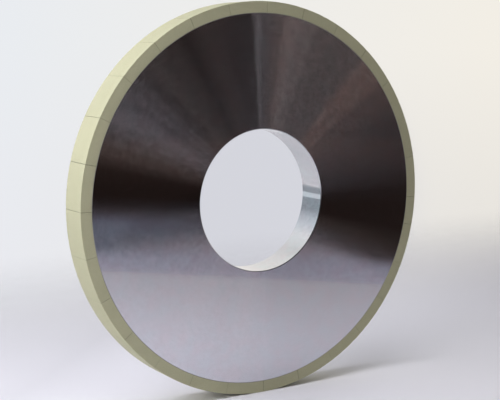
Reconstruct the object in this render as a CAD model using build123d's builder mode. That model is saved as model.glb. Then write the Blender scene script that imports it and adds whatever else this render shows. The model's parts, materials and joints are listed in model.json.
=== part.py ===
"""Peripheral diamond grinding wheel: a turned metal core with a rim of glued abrasive segments.

The wheel turns about Y. Its front face looks towards -Y, +Z is up and the origin is the wheel's
centre. Angles around the wheel run counter-clockwise from +X, as seen from in front.
"""
import os
from math import asin, degrees

from build123d import *

# Driving dimensions, in millimetres and degrees
wheel_diameter = 350.0
wheel_width = 30.0
bore_diameter = 127.0
bore_chamfer = 0.6
abrasive_depth = 10.0  # radial depth of the abrasive segments
rim_glue = 0.5  # thickness of the glue between the core and the segments
joint_glue = 0.3  # thickness of the glue between two segments
glue_recess = 0.15  # how far the glue stays below the ground surfaces
segment_angle = 13.0  # a full-length segment, from joint to joint
full_segments = 27  # the last gap in the ring takes a shorter closing segment
ring_start = -2.6  # angle of the joint where the first full-length segment starts

# Worked out from them
wheel_radius = wheel_diameter / 2
bore_radius = bore_diameter / 2
ring_inner_radius = wheel_radius - abrasive_depth
core_radius = ring_inner_radius - rim_glue
glue_radius = wheel_radius - glue_recess  # the joint glue's outer end
glue_width = wheel_width - 2 * glue_recess
half_joint = joint_glue / 2
segment_count = full_segments + 1

front_face = Plane.XZ.offset(wheel_width / 2)
glue_front = Plane.XZ.offset(glue_width / 2)

os.makedirs("parts", exist_ok=True)


def save(piece, name):
    """Labels one finished piece and writes it as its own STEP file."""
    piece.part.label = name
    export_step(piece.part, f"parts/{name}.step")


def sector(inner_radius, outer_radius, start, end, start_shift, end_shift):
    """A piece of a ring between two joint planes, as a flat sketch.

    The straight sides are parallel to the joint planes at start and end, each moved sideways
    by its shift, counter-clockwise when positive.
    """

    def side_angle(joint, shift, radius):
        return joint + degrees(asin(shift / radius))

    with BuildSketch() as outline:
        with BuildLine():
            arcs = []
            for radius in (inner_radius, outer_radius):
                first = side_angle(start, start_shift, radius)
                last = side_angle(end, end_shift, radius)
                arcs.append(CenterArc((0, 0), radius, first, last - first))
            inner, outer = arcs
            Line(inner @ 0, outer @ 0)
            Line(inner @ 1, outer @ 1)
        make_face()
    return outline.sketch


def joint_angle(index):
    """Angle of the joint before segment number index, counted from 0."""
    return ring_start + index * segment_angle


def is_bore_edge(edge):
    """True for the two circles where the bore meets the faces."""
    return abs(edge.radius - bore_radius) < bore_chamfer


# Core: a plain disc, turned flush with the ring, with its large bore broken at both ends
with BuildPart() as core_body:
    with BuildSketch(front_face):
        Circle(core_radius)
        Circle(bore_radius, mode=Mode.SUBTRACT)
    extrude(amount=-wheel_width)
    bore_edges = core_body.edges().filter_by(GeomType.CIRCLE).filter_by(is_bore_edge)
    chamfer(bore_edges, length=bore_chamfer)
save(core_body, "core_body")

# Glue between the core and the ring: a thin sleeve, just below both faces
with BuildPart() as rim_bond_line:
    with BuildSketch(glue_front):
        Circle(ring_inner_radius)
        Circle(core_radius, mode=Mode.SUBTRACT)
    extrude(amount=-glue_width)
save(rim_bond_line, "rim_bond_line")

# Abrasive segments: full-length ones in order, then the short closing one
for index in range(segment_count):
    start = joint_angle(index)
    end = joint_angle(index + 1) if index < full_segments else joint_angle(0) + 360
    outline = sector(ring_inner_radius, wheel_radius, start, end, half_joint, -half_joint)
    with BuildPart() as abrasive_segment:
        with BuildSketch(front_face):
            add(outline)
        extrude(amount=-wheel_width)
    save(abrasive_segment, f"abrasive_segment_{index + 1:02d}")

# Glue in the joints: one thin slab before each segment, just below the ground surfaces
for index in range(segment_count):
    joint = joint_angle(index)
    outline = sector(ring_inner_radius, glue_radius, joint, joint, -half_joint, half_joint)
    with BuildPart() as joint_bond_line:
        with BuildSketch(glue_front):
            add(outline)
        extrude(amount=-glue_width)
    save(joint_bond_line, f"joint_bond_line_{index + 1:02d}")

print(f"closing segment: {360 - full_segments * segment_angle:.1f} degrees")
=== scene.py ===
"""Looks of the diamond grinding wheel: detailed meshes, materials and a small photo studio.

Everything is in metres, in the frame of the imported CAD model: the wheel's axis is Y, its front face
looks towards -Y, and the origin is the wheel's centre.
"""
import json
import math

import bpy
import numpy as np
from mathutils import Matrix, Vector


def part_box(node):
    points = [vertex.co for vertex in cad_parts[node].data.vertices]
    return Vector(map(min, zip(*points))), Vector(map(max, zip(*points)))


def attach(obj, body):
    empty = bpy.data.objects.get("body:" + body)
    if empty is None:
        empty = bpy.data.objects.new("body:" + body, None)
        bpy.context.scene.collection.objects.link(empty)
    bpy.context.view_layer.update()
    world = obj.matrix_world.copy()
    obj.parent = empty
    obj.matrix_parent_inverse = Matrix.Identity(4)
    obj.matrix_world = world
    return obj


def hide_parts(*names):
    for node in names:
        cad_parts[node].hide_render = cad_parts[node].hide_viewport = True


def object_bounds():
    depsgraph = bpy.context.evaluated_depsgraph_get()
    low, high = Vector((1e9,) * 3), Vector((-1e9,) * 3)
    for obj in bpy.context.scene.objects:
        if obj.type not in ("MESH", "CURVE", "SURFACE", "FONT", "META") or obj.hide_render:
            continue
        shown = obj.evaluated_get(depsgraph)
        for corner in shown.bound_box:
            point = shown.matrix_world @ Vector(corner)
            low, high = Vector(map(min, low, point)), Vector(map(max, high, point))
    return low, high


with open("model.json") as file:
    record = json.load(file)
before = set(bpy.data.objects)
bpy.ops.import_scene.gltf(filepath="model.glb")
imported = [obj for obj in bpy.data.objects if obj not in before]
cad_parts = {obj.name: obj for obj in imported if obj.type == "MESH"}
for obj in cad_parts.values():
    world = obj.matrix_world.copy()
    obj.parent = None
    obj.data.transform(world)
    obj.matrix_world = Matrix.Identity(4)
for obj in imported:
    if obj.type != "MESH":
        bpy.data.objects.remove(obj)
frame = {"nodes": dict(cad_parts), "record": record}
cad_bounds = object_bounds()

MM = 0.001

# Sizes, read from the CAD model
record = frame["record"]
bore_mount = next(m for m in record["mounts"] if m["name"] == "bore")
wheel_radius = cad_bounds[1].z
half_width = cad_bounds[1].y
bore_radius = bore_mount["dims"]["r_mm"] * MM
bore_wall_half = bore_mount["dims"]["length_mm"] * MM / 2
bore_chamfer = half_width - bore_wall_half
core_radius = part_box("core_body")[1].x
ring_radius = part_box("rim_bond_line")[1].x
segment_nodes = sorted(n for n in frame["nodes"] if n.startswith("abrasive_segment"))
joint_nodes = sorted(n for n in frame["nodes"] if n.startswith("joint_bond_line"))
floor_height = cad_bounds[0].z

# Finish of the real surfaces
edge_radius = 0.2 * MM  # broken edges of the ground segments
core_edge = 0.05 * MM  # broken outer edge of the core
half_joint = 0.15 * MM  # half the thickness of the glue between segments
joint_wander = 0.10 * MM  # how far a glue line strays sideways
joint_swell = 0.05 * MM  # how much half its thickness varies
glue_dip = 0.12 * MM  # how far the glue lies below the ground surfaces
chips_per_edge = 7  # small chips along each outer edge of a segment

# Grids of the detailed meshes
ROUND_STEPS = 720  # steps once round the core and the glue sleeve
SEGMENT_GRID = np.array([0, 0.06, 0.13, 0.2, 0.4, 0.7, 1.2]) * MM  # grid lines beside a segment's edge
GLUE_GRID = np.array([0, 0.1, 0.4]) * MM  # the same for the glue in a joint

# Seeds. A joint or a segment adds its own number to a seed of its kind.
JOINT_PATH_SEED = 100
JOINT_GAP_SEED = 200
EDGE_SEED = 300
CHIP_SEED = 400
SEGMENT_TONE_SEED = 500
JOINT_DIP_SEED = 600
SLEEVE_SEED = 700
JOINT_TONE_SEED = 1748

JOINT_TONES = np.random.default_rng(JOINT_TONE_SEED).uniform(0, 1, len(joint_nodes))  # 0 is dusty

# Lapped metal
METAL_DARK = (0.61, 0.605, 0.645, 1)
METAL_LIGHT = (0.69, 0.685, 0.735, 1)
STAIN_WARM = (1.0, 0.965, 0.97, 1)
STAIN_COOL = (0.97, 1.0, 1.0, 1)
SMUDGED = (0.55, 0.52, 0.50, 1)
BORE_PAINTED_SHEEN = (1.15, 1.155, 1.085, 1)  # painted sheen: the bored wall's colour is lifted brighter and warmer than the faces', for a brighter reflection
# Painted shade: the chamfers beside the bore are darkened to dim their glint.
CHAMFER_PAINTED_SHADE = (0.75, 0.75, 0.75, 1)

# How the grooves spread a shine: a broad fan, with a faint and narrower veil over it
GROOVE_ROUGHNESS = 0.15
GROOVE_ANISOTROPY = 0.915
GROOVE_SHARE = 0.28
VEIL_ROUGHNESS = 0.10
VEIL_ANISOTROPY = 0.80
VEIL_SHARE = 0.09

# Ground abrasive
OLIVE_DARK = (0.445, 0.432, 0.268, 1)
OLIVE_LIGHT = (0.505, 0.492, 0.318, 1)
OLIVE_DULL = (0.42, 0.415, 0.267, 1)
OLIVE_PALE = (0.63, 0.62, 0.45, 1)
GRIT = (0.24, 0.24, 0.148, 1)
# Painted shade in the open pores, which are drawn darker.
PORE_SHADE = (0.16, 0.16, 0.097, 1)

# The studio: the white paper ends at a straight line in front of the wheel and to its right
PAPER_OUT = (0.717, -0.697, 0)  # the direction in which the paper's edge lies
PAPER_SIDE = (-0.697, -0.717, 0)  # along that edge, towards the camera's side
PAPER_REACH = 0.52  # how far the edge is from the wheel, in metres
PAPER_COOL = (0.915, 0.905, 0.965, 1)
PAPER_WHITE = (0.94, 0.93, 0.99, 1)
PAPER_EDGE_SHADE = (0.77, 0.74, 0.77, 1)  # painted shade: greyer and warmer at its edge, far from the lamps
FLOOR_RADIUS = 2.0
TABLE_LIFT = 0.4 * MM  # the panels that lie on the floor are lifted by different amounts,
MAT_LIFT = 0.6 * MM  # so that no two of them share a plane
BACK_TABLE_LIFT = 0.8 * MM
TABLE_SPAN = 4.0  # how far the table beyond the paper goes, out and to both sides
ROOM_DISTANCE = 3.0
ROOM_HALF_WIDTH = 14.0
ROOM_TOP = 10.0
WALL_DISTANCE = 2.3
WALL_AZIMUTH = -145  # where the middle of the wall behind the wheel lies, in degrees
WALL_SIDES = (-163, -127)  # and the azimuths of its two sides
DARK_ROOM = (0.012, 0.010, 0.009, 1)
DARK_FAR = (0.016, 0.010, 0.008)  # where the table ends in the dark
BLACK = (0, 0, 0, 1)
BEHIND = (0.529, 0.839, -0.127)  # straight behind the wheel, where the backdrop has a painted shadow of the wheel
FAN_CENTRE = (0.531, -0.127)  # X and Z of the direction in which the face's middle mirrors the camera


# ---------------------------------------------------------------- geometry helpers


def waves(seed, coordinates, wavelength, count=6):
    """Smooth seeded noise from -1 to 1 over a list of coordinate arrays, as a sum of sines."""
    random = np.random.default_rng(seed)
    total = np.zeros(np.broadcast(*coordinates).shape)
    for _ in range(count):
        direction = random.normal(size=len(coordinates))
        direction *= random.uniform(0.6, 1.6) / (np.linalg.norm(direction) * wavelength)
        phase = random.uniform(0, 2 * math.pi)
        along = sum(c * d for c, d in zip(coordinates, direction))
        total += np.sin(2 * math.pi * along + phase)
    return total / count**0.5 / 1.5


def new_piece(name, points, faces, material, node_names, sharp_edges=()):
    """Makes a smooth-shaded mesh piece that stands for CAD nodes and rides with the wheel."""
    mesh = bpy.data.meshes.new(name)
    mesh.from_pydata(points.tolist(), [], faces.tolist())
    mesh.polygons.foreach_set("use_smooth", [True] * len(mesh.polygons))
    if len(sharp_edges):
        wanted = {tuple(sorted(e)) for e in sharp_edges}
        for edge in mesh.edges:
            edge.use_edge_sharp = tuple(sorted(edge.vertices)) in wanted
    mesh.update()
    mesh.materials.append(material)
    piece = bpy.data.objects.new(name, mesh)
    bpy.context.scene.collection.objects.link(piece)
    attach(piece, "root")
    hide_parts(*node_names)
    return piece


def give_tone(piece, value):
    """A number from 0 to 1 by which the material tells this piece from its neighbours."""
    tone = piece.data.attributes.new("tone", "FLOAT", "POINT")
    tone.data.foreach_set("value", np.full(len(piece.data.vertices), value, np.float32))


def revolve(profile, steps, wobble=None):
    """Turns a closed profile of (radius, y) points once round Y. Returns points and quads."""
    radius = np.array([p[0] for p in profile])[None, :]
    y = np.array([p[1] for p in profile])[None, :]
    turn = (np.arange(steps) * 2 * math.pi / steps)[:, None]
    if wobble is not None:
        radius, y = wobble(turn, radius, y)
    points = np.stack(np.broadcast_arrays(radius * np.cos(turn), y, radius * np.sin(turn)), -1)
    n = len(profile)
    i, j = np.meshgrid(np.arange(steps), np.arange(n), indexing="ij")
    here, across = i * n + j, i * n + (j + 1) % n
    on, both = (i + 1) % steps * n + j, (i + 1) % steps * n + (j + 1) % n
    faces = np.stack([here, on, both, across], -1).reshape(-1, 4)
    return points.reshape(-1, 3), faces


def ring_edges(index, steps, profile_length):
    """The edges of the circle that one point of a revolved profile draws."""
    circle = [k * profile_length + index for k in range(steps)]
    return list(zip(circle, circle[1:] + circle[:1]))


def block_faces(counts):
    """Surface of a block of counts cells. Returns the lattice indices of its points, and quads."""
    nu, nv, nw = counts
    index = {}

    def point(u, v, w):
        return index.setdefault((u, v, w), len(index))

    faces = []
    for axis, (n, m, depth) in enumerate(((nv, nw, nu), (nw, nu, nv), (nu, nv, nw))):
        for side in (0, depth):
            for a in range(n):
                for b in range(m):
                    corners = [(a, b), (a + 1, b), (a + 1, b + 1), (a, b + 1)]
                    if side == 0:
                        corners.reverse()
                    quad = []
                    for p, q in corners:
                        place = [0, 0, 0]
                        place[axis] = side
                        place[(axis + 1) % 3] = p
                        place[(axis + 2) % 3] = q
                        quad.append(point(*place))
                    faces.append(quad)
    return np.array(list(index)), np.array(faces)


def graded(length, edge_steps, middle_step):
    """Grid lines from 0 to length: close together at both ends, about middle_step between."""
    start = np.array(edge_steps)
    count = max(2, round((length - 2 * start[-1]) / middle_step) + 1)
    middle = np.linspace(start[-1], length - start[-1], count)
    return np.concatenate([start[:-1], middle, (length - start[:-1])[::-1]])


# ---------------------------------------------------------------- the wheel's pieces


def joint_angle(k):
    """Angle of a joint's middle, counter-clockwise from +X, from where its CAD node lies."""
    low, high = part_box(joint_nodes[k % len(joint_nodes)])
    middle = (low + high) / 2
    return math.atan2(middle.z, middle.x)


def joint_side(k, side, radius, y):
    """How far a joint's wall lies from the joint's plane, on one side of the glue, in metres."""
    k = k % len(joint_nodes)
    middle = joint_wander * waves(JOINT_PATH_SEED + k, (radius, y), 14 * MM, 4)
    half = half_joint + joint_swell * waves(JOINT_GAP_SEED + k, (radius, y), 6 * MM, 5)
    return middle + side * half


def chips(seed, length, count):
    """Places, widths and depths of a few small chips along an edge of that length."""
    random = np.random.default_rng(seed)
    place = random.uniform(0, length, count)
    width = random.uniform(0.25, 0.9, count) * MM
    depth = width * random.uniform(0.2, 0.45, count)
    return np.stack([place, width, depth], -1)


def make_segment(k, material):
    """One abrasive segment: ground faces, broken edges with small chips, uneven glued sides."""
    start, end = joint_angle(k), joint_angle(k + 1)
    end += 2 * math.pi * (end < start)
    length = (end - start) * wheel_radius
    depth, width = wheel_radius - ring_radius, 2 * half_width
    lines = [
        graded(length, SEGMENT_GRID[::2], 0.55 * MM),
        graded(depth, SEGMENT_GRID, 1.2 * MM),
        graded(width, SEGMENT_GRID, 1.6 * MM),
    ]
    lattice, faces = block_faces([len(line) - 1 for line in lines])
    flat = np.stack([line[lattice[:, i]] for i, line in enumerate(lines)], -1)
    size = np.array([length, depth, width])

    # Round the edges: a point near an edge is drawn onto a small ball or roll inside it.
    rough = 1 + 0.35 * waves(EDGE_SEED + k, (flat[:, 0], flat[:, 2]), 3 * MM, 5)
    inner = np.clip(flat, edge_radius, size - edge_radius)
    out = flat - inner
    reach = np.linalg.norm(out, axis=1)[:, None]
    rounded = inner + out / np.maximum(reach, 1e-9) * edge_radius
    keen = (np.abs(out) > 1e-9).sum(1) > 1
    share = np.clip(rough, 0.4, 1.6)[:, None]
    placed = np.where(keen[:, None], flat + (rounded - flat) * share, flat)

    # Small chips along the two outer edges
    for edge, y in enumerate((0.0, width)):
        for along, chip_width, chip_depth in chips(CHIP_SEED + 2 * k + edge, length, chips_per_edge):
            gap = np.sqrt((flat[:, 0] - along) ** 2 + (flat[:, 1] - depth) ** 2 + (flat[:, 2] - y) ** 2)
            dent = np.clip(1 - gap / chip_width, 0, 1) * chip_depth
            placed[:, 1] -= dent * 0.7
            placed[:, 2] += dent * 0.7 * (1 if edge == 0 else -1)

    share = placed[:, 0] / length
    radius = ring_radius + placed[:, 1]
    y = placed[:, 2] - half_width
    first = start + joint_side(k, 1, radius, y) / radius
    last = end + joint_side(k + 1, -1, radius, y) / radius
    angle = first + (last - first) * share
    points = np.stack([radius * np.cos(angle), y, radius * np.sin(angle)], -1)
    name = segment_nodes[k].replace("abrasive", "ground")
    piece = new_piece(name, points, faces[:, ::-1], material, [segment_nodes[k]])
    give_tone(piece, np.random.default_rng(SEGMENT_TONE_SEED + k).uniform(0, 1))


def make_joint_glue(k, material):
    """The glue in one joint: it fills the uneven gap and sinks a little at its surface."""
    depth = wheel_radius - ring_radius - glue_dip
    width = 2 * (half_width - glue_dip)
    lines = [
        np.linspace(-1, 1, 5),
        graded(depth, GLUE_GRID, 0.8 * MM),
        graded(width, GLUE_GRID, 0.8 * MM),
    ]
    lattice, faces = block_faces([len(line) - 1 for line in lines])
    side, rise, along = (line[lattice[:, i]] for i, line in enumerate(lines))
    across = np.abs(along - width / 2)
    uneven = waves(JOINT_DIP_SEED + k, (rise, along), 2.5 * MM, 5)
    dip = (1 - side**2) * 0.05 * MM + 0.03 * MM * (1 + uneven)
    radius = ring_radius + rise - dip * (rise > 0.99 * depth)
    y = along - width / 2
    y -= np.sign(y) * dip * (across > 0.499 * width)
    after, before = joint_side(k, 1, radius, y), joint_side(k, -1, radius, y)
    middle, half = (after + before) / 2, (after - before) / 2
    angle = joint_angle(k) + (middle + side * 0.97 * half) / radius
    points = np.stack([radius * np.cos(angle), y, radius * np.sin(angle)], -1)
    name = joint_nodes[k].replace("bond_line", "glue")
    piece = new_piece(name, points, faces[:, ::-1], material, [joint_nodes[k]])
    give_tone(piece, JOINT_TONES[k])


def make_rim_glue(material):
    """The glue between the core and the ring, a thin sleeve with a slightly uneven edge."""
    edge = half_width - glue_dip
    clear = 0.004 * MM  # keeps the sleeve's walls just off the core and the segments
    inside, outside = core_radius + clear, ring_radius - clear
    middle = (inside + outside) / 2
    profile = [(inside, -edge), (middle, -edge), (outside, -edge), (outside, 0)]
    profile += [(outside, edge), (middle, edge), (inside, edge), (inside, 0)]

    def sink(turn, radius, y):
        uneven = waves(SLEEVE_SEED, (np.cos(turn), np.sin(turn), y / half_width), 0.06, 8)
        sunk = 0.04 * MM * (1 + uneven) + 0.04 * MM * (np.abs(radius - middle) < 0.01 * MM)
        return radius + 0 * turn, y - np.sign(y) * sunk

    points, faces = revolve(profile, ROUND_STEPS, sink)
    piece = new_piece("rim_glue", points, faces, material, ["rim_bond_line"])
    give_tone(piece, 1.0)


def make_core(material):
    """The turned core: bore wall, chamfers, two flat faces and a broken outer edge."""
    face_radii = np.linspace(bore_radius + bore_chamfer, core_radius - core_edge, 18)
    wall = [(bore_radius, y) for y in np.linspace(-bore_wall_half, bore_wall_half, 7)]
    back = [(r, half_width) for r in face_radii]
    rim = [(core_radius, y) for y in (half_width - core_edge, 0, core_edge - half_width)]
    front = [(r, -half_width) for r in face_radii[::-1]]
    profile, corners = [], []
    for stretch in (wall, back, rim, front):
        corners += [len(profile), len(profile) + len(stretch) - 1]
        profile += stretch
    points, faces = revolve(profile, ROUND_STEPS)
    sharp = [edge for index in corners for edge in ring_edges(index, ROUND_STEPS, len(profile))]
    new_piece("turned_core", points, faces, material, ["core_body"], sharp)


# ---------------------------------------------------------------- materials


class Nodes:
    """Short-hand for building one node tree."""

    def __init__(self, tree):
        self.tree = tree

    def add(self, kind, inputs=None, **settings):
        """A new node. Inputs are nodes, sockets or plain values, by socket name or number."""
        node = self.tree.nodes.new(kind)
        for key, value in settings.items():
            setattr(node, key, value)
        for key, value in (inputs or {}).items():
            self.feed(node.inputs[key], value)
        return node

    def feed(self, socket, value):
        if isinstance(value, bpy.types.Node):
            value = value.outputs[0]
        if isinstance(value, bpy.types.NodeSocket):
            self.tree.links.new(value, socket)
        else:
            socket.default_value = value

    def math(self, operation, *values):
        return self.add("ShaderNodeMath", dict(enumerate(values)), operation=operation)

    def times(self, *values):
        """All the values multiplied together."""
        product = values[0]
        for value in values[1:]:
            product = self.math("MULTIPLY", product, value)
        return product

    def vector_math(self, operation, *values):
        return self.add("ShaderNodeVectorMath", dict(enumerate(values)), operation=operation)

    def noise(self, vector, scale, detail=4, rough=0.5):
        inputs = {"Vector": vector, "Scale": scale, "Detail": detail, "Roughness": rough}
        return self.add("ShaderNodeTexNoise", inputs)

    def ramp(self, value, low, high, to_low=0.0, to_high=1.0):
        """A straight run from to_low, where value is low, to to_high, where it is high."""
        inputs = {"Value": value, "From Min": low, "From Max": high, "To Min": to_low, "To Max": to_high}
        return self.add("ShaderNodeMapRange", inputs)

    def smooth(self, value, low, high):
        """A smooth run from 0, where value is low, to 1, where it is high."""
        inputs = {"Value": value, "From Min": low, "From Max": high}
        return self.add("ShaderNodeMapRange", inputs, interpolation_type="SMOOTHSTEP")

    def dot(self, vector, direction):
        return self.vector_math("DOT_PRODUCT", vector, direction).outputs["Value"]

    def length(self, vector):
        return self.vector_math("LENGTH", vector).outputs["Value"]

    def mix(self, share, a, b, blend="MIX"):
        node = self.add("ShaderNodeMix", data_type="RGBA", blend_type=blend)
        self.feed(node.inputs[0], share)
        self.feed(node.inputs[6], a)
        self.feed(node.inputs[7], b)
        return node.outputs[2]


def new_material(name):
    """A material with an output and a plain Principled shader, its nodes, and that shader."""
    material = bpy.data.materials.new(name)
    material.use_nodes = True
    material.node_tree.nodes.clear()
    nodes = Nodes(material.node_tree)
    shader = nodes.add("ShaderNodeBsdfPrincipled")
    nodes.add("ShaderNodeOutputMaterial", {"Surface": shader})
    return material, nodes, shader


def place(nodes):
    """Where a point lies, in metres. Every object sits at the origin, unturned and unscaled."""
    return nodes.add("ShaderNodeTexCoord").outputs["Object"]


def piece_tone(nodes):
    """The number that give_tone stored in the piece."""
    return nodes.add("ShaderNodeAttribute", attribute_name="tone", attribute_type="GEOMETRY").outputs["Fac"]


def turned_metal():
    """Lapped aluminium: a clear mirror, over fine circular grooves that fan reflections radially."""
    material, nodes, shader = new_material("lapped_aluminium")
    where = place(nodes)
    xyz = nodes.add("ShaderNodeSeparateXYZ", {"Vector": where})
    across = nodes.add("ShaderNodeCombineXYZ", {"X": xyz.outputs[0], "Z": xyz.outputs[2]})
    radius = nodes.length(across)
    turn = nodes.add("ShaderNodeSeparateXYZ", {"Vector": nodes.vector_math("NORMALIZE", across)})
    outward = nodes.math("ADD", radius, xyz.outputs[1])

    def marks(per_metre, round_scale):
        """Noise stretched along the circles: fine from one circle to the next, long round the wheel."""
        vector = nodes.add("ShaderNodeCombineXYZ", {
            "X": nodes.times(outward, per_metre),
            "Y": nodes.times(turn.outputs[0], round_scale),
            "Z": nodes.times(turn.outputs[2], round_scale),
        })
        return nodes.noise(vector, 1.0, 3, 0.6)

    fine, coarse = marks(330, 22), marks(160, 1.5)
    cloudy = nodes.noise(where, 22, 3)
    smudge = nodes.ramp(nodes.noise(where, 9, 5, 0.6), 0.52, 0.72)
    speck = nodes.noise(where, 620, 3, 0.7)
    stain = nodes.ramp(nodes.noise(where, 75, 3), 0.35, 0.65)

    # 1 on the bored wall, and 1 on the chamfers beside it
    chamfer_end = bore_radius + bore_chamfer
    bored = nodes.ramp(radius, bore_radius + 0.08 * MM, bore_radius + 0.02 * MM)
    inside_faces = nodes.ramp(radius, chamfer_end, chamfer_end - 0.02 * MM)
    broken = nodes.math("SUBTRACT", inside_faces, bored)

    tint = nodes.mix(nodes.ramp(nodes.math("ADD", fine, speck), 0.75, 1.25), METAL_DARK, METAL_LIGHT)
    tint = nodes.mix(1.0, tint, nodes.mix(stain, STAIN_WARM, STAIN_COOL), "MULTIPLY")
    tint = nodes.mix(nodes.times(smudge, 0.05), tint, SMUDGED)
    # Painted sheen: the bored wall's colour is lifted brighter and warmer than the faces'.
    tint = nodes.mix(bored, tint, BORE_PAINTED_SHEEN, "MULTIPLY")
    # Painted shade on the chamfers, which dims their glint.
    tint = nodes.mix(broken, tint, CHAMFER_PAINTED_SHADE, "MULTIPLY")
    nodes.feed(shader.inputs["Base Color"], tint)
    shader.inputs["Metallic"].default_value = 1.0
    rough = nodes.math("MULTIPLY_ADD", cloudy, 0.02, 0.045)
    rough = nodes.math("MULTIPLY_ADD", smudge, 0.02, rough)
    nodes.feed(shader.inputs["Roughness"], nodes.math("MULTIPLY_ADD", broken, 0.25, rough))
    shader.inputs["Anisotropic"].default_value = 0.6
    shader.inputs["Anisotropic Rotation"].default_value = 0.25
    lay = nodes.add("ShaderNodeTangent", direction_type="RADIAL", axis="Y")
    nodes.feed(shader.inputs["Tangent"], lay)
    height = nodes.math("MULTIPLY_ADD", coarse, 0.7, nodes.times(fine, 0.05))
    bump = nodes.add("ShaderNodeBump", {"Strength": 1.0, "Distance": 0.002 * MM, "Height": height})
    nodes.feed(shader.inputs["Normal"], bump)

    def grooved(roughness, anisotropy):
        """A shine that the grooves spread across their lay."""
        shine = nodes.add("ShaderNodeBsdfAnisotropic", {"Color": tint, "Tangent": lay}, distribution="GGX")
        shine.inputs["Roughness"].default_value = roughness
        shine.inputs["Anisotropy"].default_value = anisotropy
        return shine

    grooves = grooved(GROOVE_ROUGHNESS, GROOVE_ANISOTROPY)
    veil = grooved(VEIL_ROUGHNESS, VEIL_ANISOTROPY)
    grooves = nodes.add("ShaderNodeMixShader", {0: VEIL_SHARE, 1: grooves, 2: veil})
    uneven = nodes.math("MULTIPLY_ADD", nodes.ramp(fine, 0.35, 0.65), 3.0, nodes.ramp(speck, 0.35, 0.65))
    share = nodes.math("MULTIPLY_ADD", uneven, 0.11 * GROOVE_SHARE, 0.78 * GROOVE_SHARE)
    both = nodes.add("ShaderNodeMixShader", {0: share, 1: shader, 2: grooves})
    nodes.feed(nodes.tree.nodes["Material Output"].inputs["Surface"], both)
    return material


def vitrified_abrasive():
    """Ground ceramic-bonded diamond: pale olive, with grains, pores and slight clouding."""
    material, nodes, shader = new_material("vitrified_abrasive")
    where = place(nodes)
    cloud = nodes.noise(where, 60, 4, 0.6)
    grain = nodes.add("ShaderNodeTexVoronoi", {"Vector": where, "Scale": 5200.0})
    speck = nodes.noise(where, 3800, 2, 0.7)
    pore = nodes.ramp(nodes.noise(where, 2300, 3, 0.7), 0.60, 0.70)

    base = nodes.mix(cloud, OLIVE_DARK, OLIVE_LIGHT)
    base = nodes.mix(nodes.times(piece_tone(nodes), 0.3), base, OLIVE_DULL)
    lighter = nodes.mix(nodes.ramp(speck, 0.45, 0.75), base, OLIVE_PALE)
    base = nodes.mix(0.4, base, lighter)
    grit = nodes.times(nodes.ramp(grain.outputs["Distance"], 0.25, 0.05), 0.30)
    base = nodes.mix(grit, base, GRIT)
    # Painted shade: the pores, which the bump sinks, are drawn darker.
    base = nodes.mix(nodes.times(pore, 0.5), base, PORE_SHADE)
    nodes.feed(shader.inputs["Base Color"], base)
    nodes.feed(shader.inputs["Roughness"], nodes.ramp(speck, 0.3, 0.8, 0.85, 0.60))
    height = nodes.math("MULTIPLY_ADD", pore, -1.0, nodes.times(speck, 0.5))
    bump = nodes.add("ShaderNodeBump", {"Strength": 0.5, "Distance": 0.03 * MM, "Height": height})
    nodes.feed(shader.inputs["Normal"], bump)
    return material


def cured_glue(name, dark, light, dusted):
    """Filled epoxy: satin, a little cloudy. A line with a low tone is covered with grinding dust."""
    material, nodes, shader = new_material(name)
    where = place(nodes)
    cloud = nodes.noise(where, 700, 4, 0.6)
    dust = nodes.ramp(nodes.noise(where, 4200, 2), 0.55, 0.7)
    tint = nodes.mix(piece_tone(nodes), dusted, nodes.mix(cloud, dark, light))
    tint = nodes.mix(nodes.times(dust, 0.4), tint, dusted)
    nodes.feed(shader.inputs["Base Color"], tint)
    nodes.feed(shader.inputs["Roughness"], nodes.ramp(cloud, 0.3, 0.7, 0.40, 0.62))
    bump = nodes.add("ShaderNodeBump", {"Strength": 0.4, "Distance": 0.02 * MM, "Height": cloud})
    nodes.feed(shader.inputs["Normal"], bump)
    return material


# ---------------------------------------------------------------- studio


def flat_shape(name, corners, material):
    """A flat piece of the studio, seen from both sides."""
    mesh = bpy.data.meshes.new(name)
    mesh.from_pydata(corners, [], [list(range(len(corners)))])
    mesh.materials.append(material)
    shape = bpy.data.objects.new(name, mesh)
    bpy.context.scene.collection.objects.link(shape)
    return shape


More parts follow.
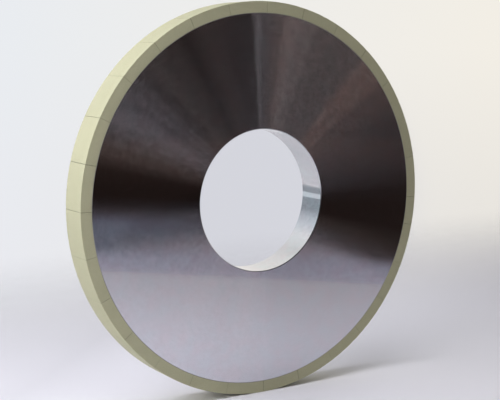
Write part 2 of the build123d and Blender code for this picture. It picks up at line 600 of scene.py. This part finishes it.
def make_floor():
    """A pale paper floor that fades into the bright backdrop behind the wheel, with no horizon."""
    material, nodes, shader = new_material("pale_paper")
    where = place(nodes)
    out = nodes.dot(where, PAPER_OUT)
    grain = nodes.noise(where, 900, 3)
    cloud = nodes.noise(where, 3, 2)
    mottle = nodes.math("MULTIPLY_ADD", grain, 0.3, nodes.times(cloud, 0.7))
    cool = nodes.mix(mottle, PAPER_COOL, PAPER_WHITE)
    # Painted shade: the paper darkens to the left of the wheel and behind it, away from the lamps.
    shade = nodes.times(nodes.ramp(out, -0.09, -0.20, 0.0, 0.185), nodes.ramp(out, -0.20, -0.32, 1.0, 0.75))
    cool = nodes.mix(shade, cool, BLACK)
    # Painted shade: the paper turns greyer and warmer towards its edge, away from the lamps.
    tint = nodes.mix(nodes.ramp(out, 0.12, PAPER_REACH), cool, PAPER_EDGE_SHADE)
    nodes.feed(shader.inputs["Base Color"], tint)
    shader.inputs["Roughness"].default_value = 0.9
    shader.inputs["Specular IOR Level"].default_value = 0.0

    # The fade is dithered, so that no line shows on the backdrop where it ends.
    far_behind = nodes.smooth(nodes.dot(where, (0, 1, 0)), 0.12, 0.8)
    far_off = nodes.smooth(nodes.length(where), 0.6, 1.6)
    faded = nodes.math("MAXIMUM", far_behind, far_off)
    left = nodes.math("SUBTRACT", 1.0, faded)
    dither = nodes.add("ShaderNodeTexWhiteNoise", {"Vector": where}, noise_dimensions="3D").outputs["Value"]
    swing = nodes.times(nodes.math("MULTIPLY_ADD", dither, 1.2, -0.6), nodes.times(left, faded))
    nodes.feed(shader.inputs["Alpha"], nodes.math("ADD", left, swing))

    turns = np.linspace(0, 2 * math.pi, 97)[:-1]
    corners = [(FLOOR_RADIUS * math.cos(a), FLOOR_RADIUS * math.sin(a), floor_height) for a in turns]
    flat_shape("floor", corners, material)


def glow_material(name):
    """An empty glowing material: its nodes, and a function that gives it a colour and soft edges."""
    material = bpy.data.materials.new(name)
    material.use_nodes = True
    material.node_tree.nodes.clear()
    nodes = Nodes(material.node_tree)

    def shine(colour, cover=1.0):
        light = nodes.add("ShaderNodeEmission", {"Color": colour})
        clear = nodes.add("ShaderNodeBsdfTransparent")
        soft = nodes.add("ShaderNodeMixShader", {0: cover, 1: clear, 2: light})
        nodes.add("ShaderNodeOutputMaterial", {"Surface": soft})
        return material

    return nodes, shine


def mirrored(shape):
    """Only the wheel's reflections show this shape, as a studio flag stands outside the picture."""
    shape.visible_camera = False
    shape.visible_diffuse = False
    shape.visible_shadow = False
    shape.visible_transmission = False


def stops(nodes, value, *colours):
    """A smooth run of colours along value: pairs of (position, colour)."""
    node = nodes.add("ShaderNodeValToRGB", {"Fac": value})
    elements = node.color_ramp.elements
    while len(elements) < len(colours):
        elements.new(0.5)
    for element, (position, colour) in zip(elements, colours):
        element.position = position
        element.color = (*colour, 1)
    return node


def facing(azimuth, elevation):
    """A direction from the wheel: azimuth from -Y towards +X, elevation above level, in degrees."""
    azimuth, elevation = math.radians(azimuth), math.radians(elevation)
    level = math.cos(elevation)
    return Vector((math.sin(azimuth) * level, -math.cos(azimuth) * level, math.sin(elevation)))


def on_floor(azimuth, distance, lift):
    """A point just above the floor, at that distance from below the wheel's centre."""
    level = facing(azimuth, 0) * distance
    return (level.x, level.y, floor_height + lift)


def make_far_floor():
    """Beyond the paper's straight edge, a glowing card with a painted reflection: a slate table top that
    darkens into the room.
    """
    nodes, shine = glow_material("far_floor_reflection")
    where = place(nodes)
    out = nodes.dot(where, PAPER_OUT)
    side = nodes.dot(where, PAPER_SIDE)
    reach = nodes.ramp(out, PAPER_REACH, PAPER_REACH + 0.66)

    # Painted reflection for the right of the face: a table with a stepped far edge, and the dark behind it
    table = stops(nodes, reach, (0.0, (0.38, 0.355, 0.42)), (0.09, (0.33, 0.32, 0.385)),
                  (0.21, (0.295, 0.285, 0.345)), (0.33, (0.25, 0.22, 0.25)), (0.45, (0.21, 0.18, 0.19)))
    edge = nodes.math("MULTIPLY_ADD", nodes.ramp(side, 0.0, 0.15), 0.185, 0.61)
    beyond = nodes.smooth(nodes.math("SUBTRACT", out, edge), 0.0, 0.13)
    plain = nodes.mix(beyond, table, (*DARK_FAR, 1))

    # Painted reflection for the left of the face: a grey box, with a dark gap beside it and a blue-grey side
    box = stops(nodes, reach, (0.0, (0.40, 0.38, 0.44)), (0.09, (0.37, 0.36, 0.44)),
                (0.15, (0.32, 0.315, 0.39)), (0.27, (0.22, 0.22, 0.263)), (0.39, (0.146, 0.145, 0.17)),
                (0.5, (0.125, 0.135, 0.18)), (0.68, (0.115, 0.112, 0.145)),
                (0.86, (0.05, 0.038, 0.036)), (1.0, DARK_FAR))
    gap = nodes.times(nodes.smooth(side, 0.52, 0.44), nodes.smooth(out, 0.62, 0.76), 0.36)
    box = nodes.mix(gap, box, BLACK)
    slanted = nodes.math("MULTIPLY_ADD", out, -0.25, side)
    blue = nodes.times(nodes.smooth(slanted, 0.22, 0.25), nodes.smooth(out, 0.66, 0.70))
    blue = nodes.times(blue, nodes.smooth(out, 1.02, 0.93))
    slate = nodes.mix(nodes.ramp(out, 0.72, 0.90), (0.105, 0.117, 0.150, 1), (0.142, 0.156, 0.193, 1))
    box = nodes.mix(blue, box, slate)
    tint = nodes.mix(nodes.ramp(side, 0.26, 0.40), plain, box)

    # Far off, a little painted warm haze
    haze = nodes.times(nodes.smooth(out, 1.4, 2.5), nodes.ramp(side, 0.0, 0.6, 0.3, 1.0))
    haze = nodes.times(haze, nodes.ramp(side, 0.85, 1.2, 1.0, 0.35))
    tint = nodes.mix(haze, tint, (0.042, 0.026, 0.020, 1))

    near, far, aside = PAPER_REACH, TABLE_SPAN, TABLE_SPAN
    corners = []
    for outward, sideways in ((near, -aside), (near, aside), (far, aside), (far, -aside)):
        corner = Vector(PAPER_OUT) * outward + Vector(PAPER_SIDE) * sideways
        corners.append((corner.x, corner.y, floor_height + TABLE_LIFT))
    mirrored(flat_shape("far_floor_reflection", corners, shine(tint)))


def make_front_room():
    """The dim room in front of the wheel, as a glowing card painted with bright and dark bands: a painted
    reflection, which the grooves fan into streaks.

    The pattern is laid out round the point that the middle of the face mirrors to the camera.
    """
    nodes, shine = glow_material("front_room_reflection")
    heading = nodes.vector_math("NORMALIZE", place(nodes))
    xyz = nodes.add("ShaderNodeSeparateXYZ", {"Vector": heading})
    x = nodes.math("SUBTRACT", xyz.outputs[0], FAN_CENTRE[0])
    z = nodes.math("SUBTRACT", xyz.outputs[2], FAN_CENTRE[1])
    fan = nodes.math("DIVIDE", nodes.math("ARCTAN2", z, x), math.pi)
    spread = nodes.length(nodes.add("ShaderNodeCombineXYZ", {"X": x, "Y": z}))
    tint = stops(nodes, fan, (0.0, (0, 0, 0)), (0.08, (0.025, 0.005, 0.0)), (0.19, (0.21, 0.13, 0.10)),
                 (0.284, (0.74, 0.47, 0.37)), (0.305, (0.42, 0.33, 0.29)), (0.40, (0.46, 0.37, 0.33)),
                 (0.432, (0.84, 0.68, 0.62)), (0.460, (0.78, 0.57, 0.50)), (0.487, (0.33, 0.27, 0.26)),
                 (0.500, (0.28, 0.25, 0.25)), (0.509, (0.98, 0.92, 0.92)), (0.517, (0.08, 0.055, 0.047)),
                 (0.56, (0.08, 0.05, 0.045)), (0.60, (0.16, 0.11, 0.095)), (0.64, (0.07, 0.045, 0.037)),
                 (0.71, (0.30, 0.25, 0.23)), (0.735, (0.27, 0.235, 0.23)), (0.80, (0.56, 0.51, 0.55)),
                 (0.83, (0.72, 0.65, 0.69)), (0.885, (0.36, 0.29, 0.26)), (0.925, (0.015, 0.01, 0.01)))
    stretched = {"X": nodes.times(fan, 46.0), "Y": nodes.times(spread, 0.1)}
    streaks = nodes.add("ShaderNodeCombineXYZ", stretched)
    uneven = nodes.ramp(nodes.noise(streaks, 1.0, 5, 0.75), 0.3, 0.7, 0.6, 2.9)
    near = nodes.times(nodes.smooth(spread, 0.24, 0.32), nodes.smooth(spread, 0.60, 0.50), 1.35)
    wide = nodes.times(nodes.smooth(spread, 0.21, 0.29), nodes.smooth(spread, 0.66, 0.40), 1.45)
    seen = nodes.add("ShaderNodeMix", {0: nodes.smooth(fan, 0.62, 0.80), 2: near, 3: wide})
    light = nodes.add("ShaderNodeVectorMath", {0: tint, 3: nodes.times(seen, uneven)}, operation="SCALE")
    room = nodes.vector_math("ADD", light, DARK_ROOM[:3])

    middle, along = facing(30, 0) * ROOM_DISTANCE, facing(120, 0) * ROOM_HALF_WIDTH
    right, left = middle + along, middle - along
    bottom = [(end.x, end.y, floor_height) for end in (right, left)]
    top = [(end.x, end.y, ROOM_TOP) for end in (left, right)]
    mirrored(flat_shape("front_room_reflection", bottom + top, shine(room)))


def within_wall(nodes):
    """1 in the middle of the back wall's azimuths, fading to 0 at its sides."""
    level = nodes.vector_math("MULTIPLY", place(nodes), (1, 1, 0))
    heading = nodes.vector_math("NORMALIZE", level)
    aside = nodes.math("ABSOLUTE", nodes.dot(heading, facing(WALL_AZIMUTH + 90, 0)))
    return nodes.smooth(aside, 0.30, 0.10)


def make_back_wall():
    """Behind the wheel to the left, a glowing card with a painted reflection: a grey-blue wall, brighter
    towards its top.
    """
    nodes, shine = glow_material("back_wall_reflection")
    height = nodes.add("ShaderNodeSeparateXYZ", {"Vector": place(nodes)}).outputs[2]
    tint = stops(nodes, nodes.ramp(height, 0.0, 1.2), (0.20, (0.25, 0.30, 0.35)), (0.42, (0.52, 0.575, 0.65)),
                 (0.58, (0.66, 0.71, 0.79)), (1.0, (0.79, 0.83, 0.88)))
    cover = nodes.times(within_wall(nodes), nodes.smooth(height, 1.35, 0.75))
    first, last = WALL_SIDES
    low, high = -3.7, 36
    directions = [facing(first, low), facing(last, low), facing(last, high), facing(first, high)]
    corners = [tuple(direction * WALL_DISTANCE) for direction in directions]
    mirrored(flat_shape("back_wall_reflection", corners, shine(tint, cover)))


def make_back_table():
    """A glowing card with a painted reflection of the table below the back wall: a dark strip near the wheel
    and a bright one beyond it.
    """
    nodes, shine = glow_material("back_table_reflection")
    distance = nodes.length(place(nodes))
    dark, bright = (0.30, 0.345, 0.39, 1), (0.68, 0.765, 0.84, 1)
    tint = nodes.mix(nodes.smooth(distance, 1.16, 1.22), dark, bright)
    cover = nodes.times(within_wall(nodes), nodes.smooth(distance, 0.66, 0.76))
    first, last = WALL_SIDES
    near, far = 0.6, 2.7
    places = (first, near), (last, near), (last, far), (first, far)
    corners = [on_floor(azimuth, distance, BACK_TABLE_LIFT) for azimuth, distance in places]
    mirrored(flat_shape("back_table_reflection", corners, shine(tint, cover)))


def make_dark_mat():
    """A dark card lying on the paper to the right, seen only in the metal: a painted dark reflection, so that
    the grooves fan less white into the face.
    """
    nodes, shine = glow_material("dark_reflection_card")
    where = place(nodes)
    out = nodes.dot(where, PAPER_OUT)
    side = nodes.dot(where, PAPER_SIDE)
    cover = nodes.times(nodes.smooth(out, 0.22, 0.40), nodes.smooth(side, -0.08, -0.20))
    first, last = 45, 125
    near, far = 0.1, 2.0
    places = (first, near), (first, far), (last, far), (last, near)
    corners = [on_floor(azimuth, distance, MAT_LIFT) for azimuth, distance in places]
    mirrored(flat_shape("dark_reflection_card", corners, shine((0.06, 0.05, 0.05, 1), cover)))


def make_painted_reflections():
    """Glowing cards with painted reflections: what the polished metal mirrors; none of it is in the picture
    itself.
    """
    make_far_floor()
    make_dark_mat()
    make_front_room()
    make_back_wall()
    make_back_table()


def make_world():
    """Soft white light from behind, the sides and below; a dark room in front of the wheel; a painted shadow
    on the backdrop behind it.
    """
    world = bpy.data.worlds.new("studio")
    bpy.context.scene.world = world
    world.use_nodes = True
    world.node_tree.nodes.clear()
    nodes = Nodes(world.node_tree)
    heading = nodes.add("ShaderNodeTexCoord").outputs["Generated"]
    x, y, z = nodes.add("ShaderNodeSeparateXYZ", {"Vector": heading}).outputs
    white = nodes.mix(nodes.ramp(x, -0.6, 0.8), (0.97, 1.0, 1.06, 1), (1.0, 0.97, 0.92, 1))
    white = nodes.mix(nodes.ramp(z, -0.04, -0.08), white, (0.78, 0.79, 0.84, 1))
    above = nodes.mix(nodes.ramp(x, -0.1, 0.1), (0.08, 0.08, 0.085, 1), (0.52, 0.52, 0.53, 1))
    white = nodes.mix(nodes.smooth(z, 0.55, 0.7), white, above)
    lit = nodes.mix(nodes.smooth(y, 0.05, -0.12), white, DARK_ROOM)
    light = nodes.add("ShaderNodeBackground", {"Color": lit})

    sky = nodes.mix(nodes.ramp(x, 0.34, 0.69), (0.815, 0.84, 0.875, 1), (0.89, 0.855, 0.785, 1))
    low = nodes.mix(nodes.ramp(x, 0.34, 0.69), (0.815, 0.825, 0.865, 1), (0.79, 0.765, 0.725, 1))
    # Painted shadow: the backdrop that the camera sees is darker straight behind the wheel.
    painted_shadow = nodes.smooth(nodes.dot(heading, BEHIND), math.cos(math.radians(9)), math.cos(math.radians(3)))
    seen = nodes.mix(nodes.ramp(z, 0.0, -0.17), sky, low)
    seen = nodes.mix(painted_shadow, seen, (0.66, 0.667, 0.722, 1))
    backdrop = nodes.add("ShaderNodeBackground", {"Color": seen})
    path = nodes.add("ShaderNodeLightPath")
    both = nodes.add("ShaderNodeMixShader", {0: path.outputs["Is Camera Ray"], 1: light, 2: backdrop})
    nodes.add("ShaderNodeOutputWorld", {"Surface": both})


def make_softbox(name, position, size, power, colour):
    """A soft lamp that faces the wheel. The metal mirrors the room's panels instead of it."""
    data = bpy.data.lights.new(name, "AREA")
    data.shape = "RECTANGLE"
    data.size, data.size_y = size
    data.energy = power
    data.color = colour
    lamp = bpy.data.objects.new(name, data)
    lamp.location = position
    lamp.rotation_euler = (-position).to_track_quat("-Z", "Y").to_euler()
    lamp.visible_camera = False
    lamp.visible_glossy = False
    bpy.context.scene.collection.objects.link(lamp)


def make_lamps():
    """Two soft lamps from the left and one from above."""
    white, cool = (1.0, 1.0, 1.0), (0.98, 0.99, 1.10)
    make_softbox("left_light", facing(-72, 14) * 0.62, (0.5, 0.4), 0.95, white)
    make_softbox("upper_left_light", facing(-84, 40) * 0.65, (0.5, 0.4), 1.85, cool)
    make_softbox("top_light", Vector((-0.32, -0.22, 1.08)), (0.9, 0.9), 6.9, white)


def make_camera():
    """In front of the wheel and to its left, a little above its centre, looking slightly down."""
    data = bpy.data.cameras.new("camera")
    data.sensor_width = 36.0
    data.lens = 84.09
    camera = bpy.data.objects.new("camera", data)
    camera.location = (-0.5551, -0.8816, 0.1336)
    camera.rotation_euler = (math.radians(90 - 7.37), 0, math.radians(-32.02))
    bpy.context.scene.collection.objects.link(camera)
    bpy.context.scene.camera = camera


def make_wheel():
    """The wheel itself: 58 pieces, one for each CAD node."""
    metal = turned_metal()
    abrasive = vitrified_abrasive()
    joint_glue = cured_glue("joint_glue", (0.06, 0.06, 0.04, 1), (0.11, 0.11, 0.08, 1), (0.38, 0.37, 0.24, 1))
    rim_glue = cured_glue("rim_glue", (0.24, 0.23, 0.22, 1), (0.34, 0.33, 0.31, 1), (0.30, 0.29, 0.26, 1))
    make_core(metal)
    make_rim_glue(rim_glue)
    for k in range(len(segment_nodes)):
        make_segment(k, abrasive)
        make_joint_glue(k, joint_glue)


def main():
    make_camera()
    bpy.context.scene.view_settings.view_transform = "Standard"
    make_world()
    make_floor()
    make_painted_reflections()
    make_lamps()
    make_wheel()


main()
